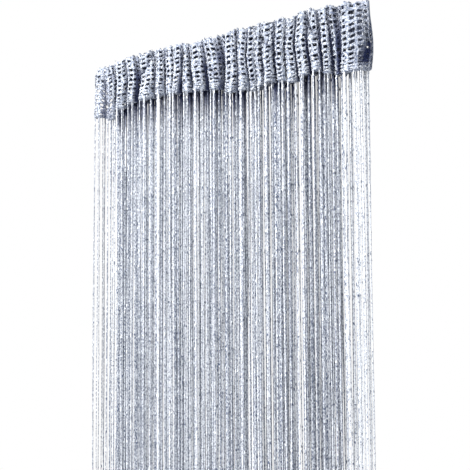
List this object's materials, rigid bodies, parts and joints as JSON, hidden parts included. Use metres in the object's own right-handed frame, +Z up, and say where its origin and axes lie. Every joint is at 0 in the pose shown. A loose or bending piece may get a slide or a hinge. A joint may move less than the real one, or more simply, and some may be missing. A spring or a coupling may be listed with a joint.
{
  "type": "string curtain",
  "caption": "String curtain with a pleated openwork heading, folded over into a rod pocket, and long free-hanging strings along its lower edge.",
  "frame": {"origin": "middle of the heading's top edge, on the line halfway between the pleats' crests and valleys", "axes": "+X along the width to the curtain's right as seen from the front, +Y behind the curtain, +Z up; the strings hang along -Z"},
  "size_m": [0.485, 0.0444, 2.005],
  "materials": {
    "heading_yarn": "silvery blue-grey knitted yarn with a faint metallic thread",
    "string_yarn": "silvery blue-grey looped yarn with a faint metallic thread"
  },
  "bodies": {
    "root": {"heading": "heading_yarn", "string_fringe": "string_yarn"}
  },
  "joints": []
}
